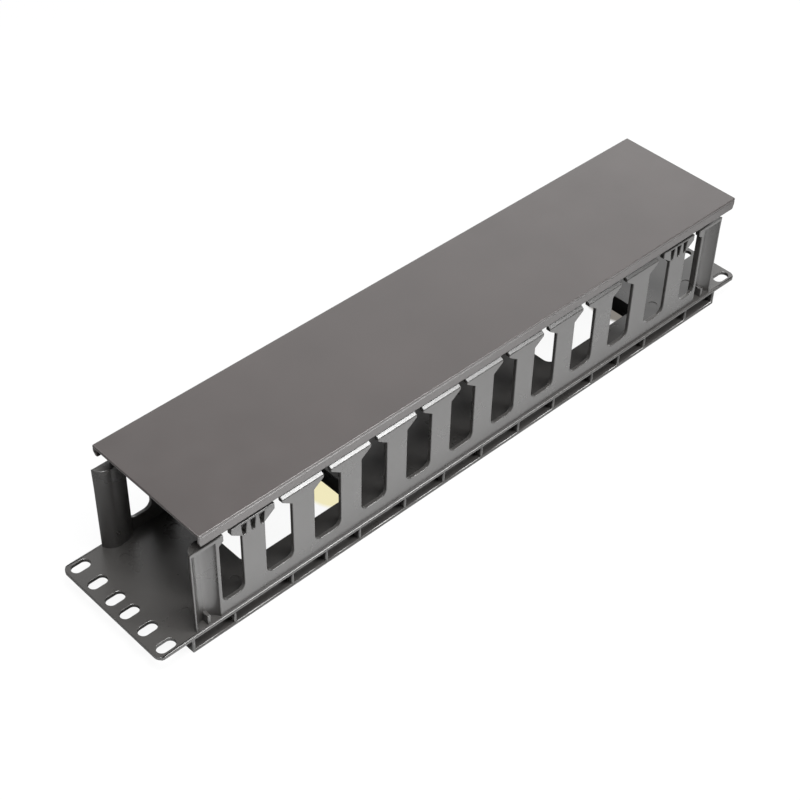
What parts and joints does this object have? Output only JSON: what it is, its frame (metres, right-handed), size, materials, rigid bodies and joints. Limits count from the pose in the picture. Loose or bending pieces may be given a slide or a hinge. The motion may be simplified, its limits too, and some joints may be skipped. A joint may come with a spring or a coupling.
{
  "type": "horizontal cable manager",
  "caption": "Two-unit rack cable duct with slotted ears, windowed finger walls, corner posts, floor ports and a flat clip-on cover.",
  "frame": {"origin": "middle of the underside of the body, under the middle of the rack panel", "axes": "+X along the rack width, +Y along the rack height, +Z away from the rack, through the cover"},
  "size_m": [0.4826, 0.0906, 0.0858],
  "materials": {
    "moulding": "satin",
    "cover": "satin"
  },
  "bodies": {
    "duct": {"duct_body": "moulding"},
    "lid": {"cover": "cover"}
  },
  "joints": [
    {"name": "cover_lift", "type": "slide", "parent": "duct", "child": "lid", "axis": [0, 0, 1], "range_m": [0, 0.05]}
  ]
}
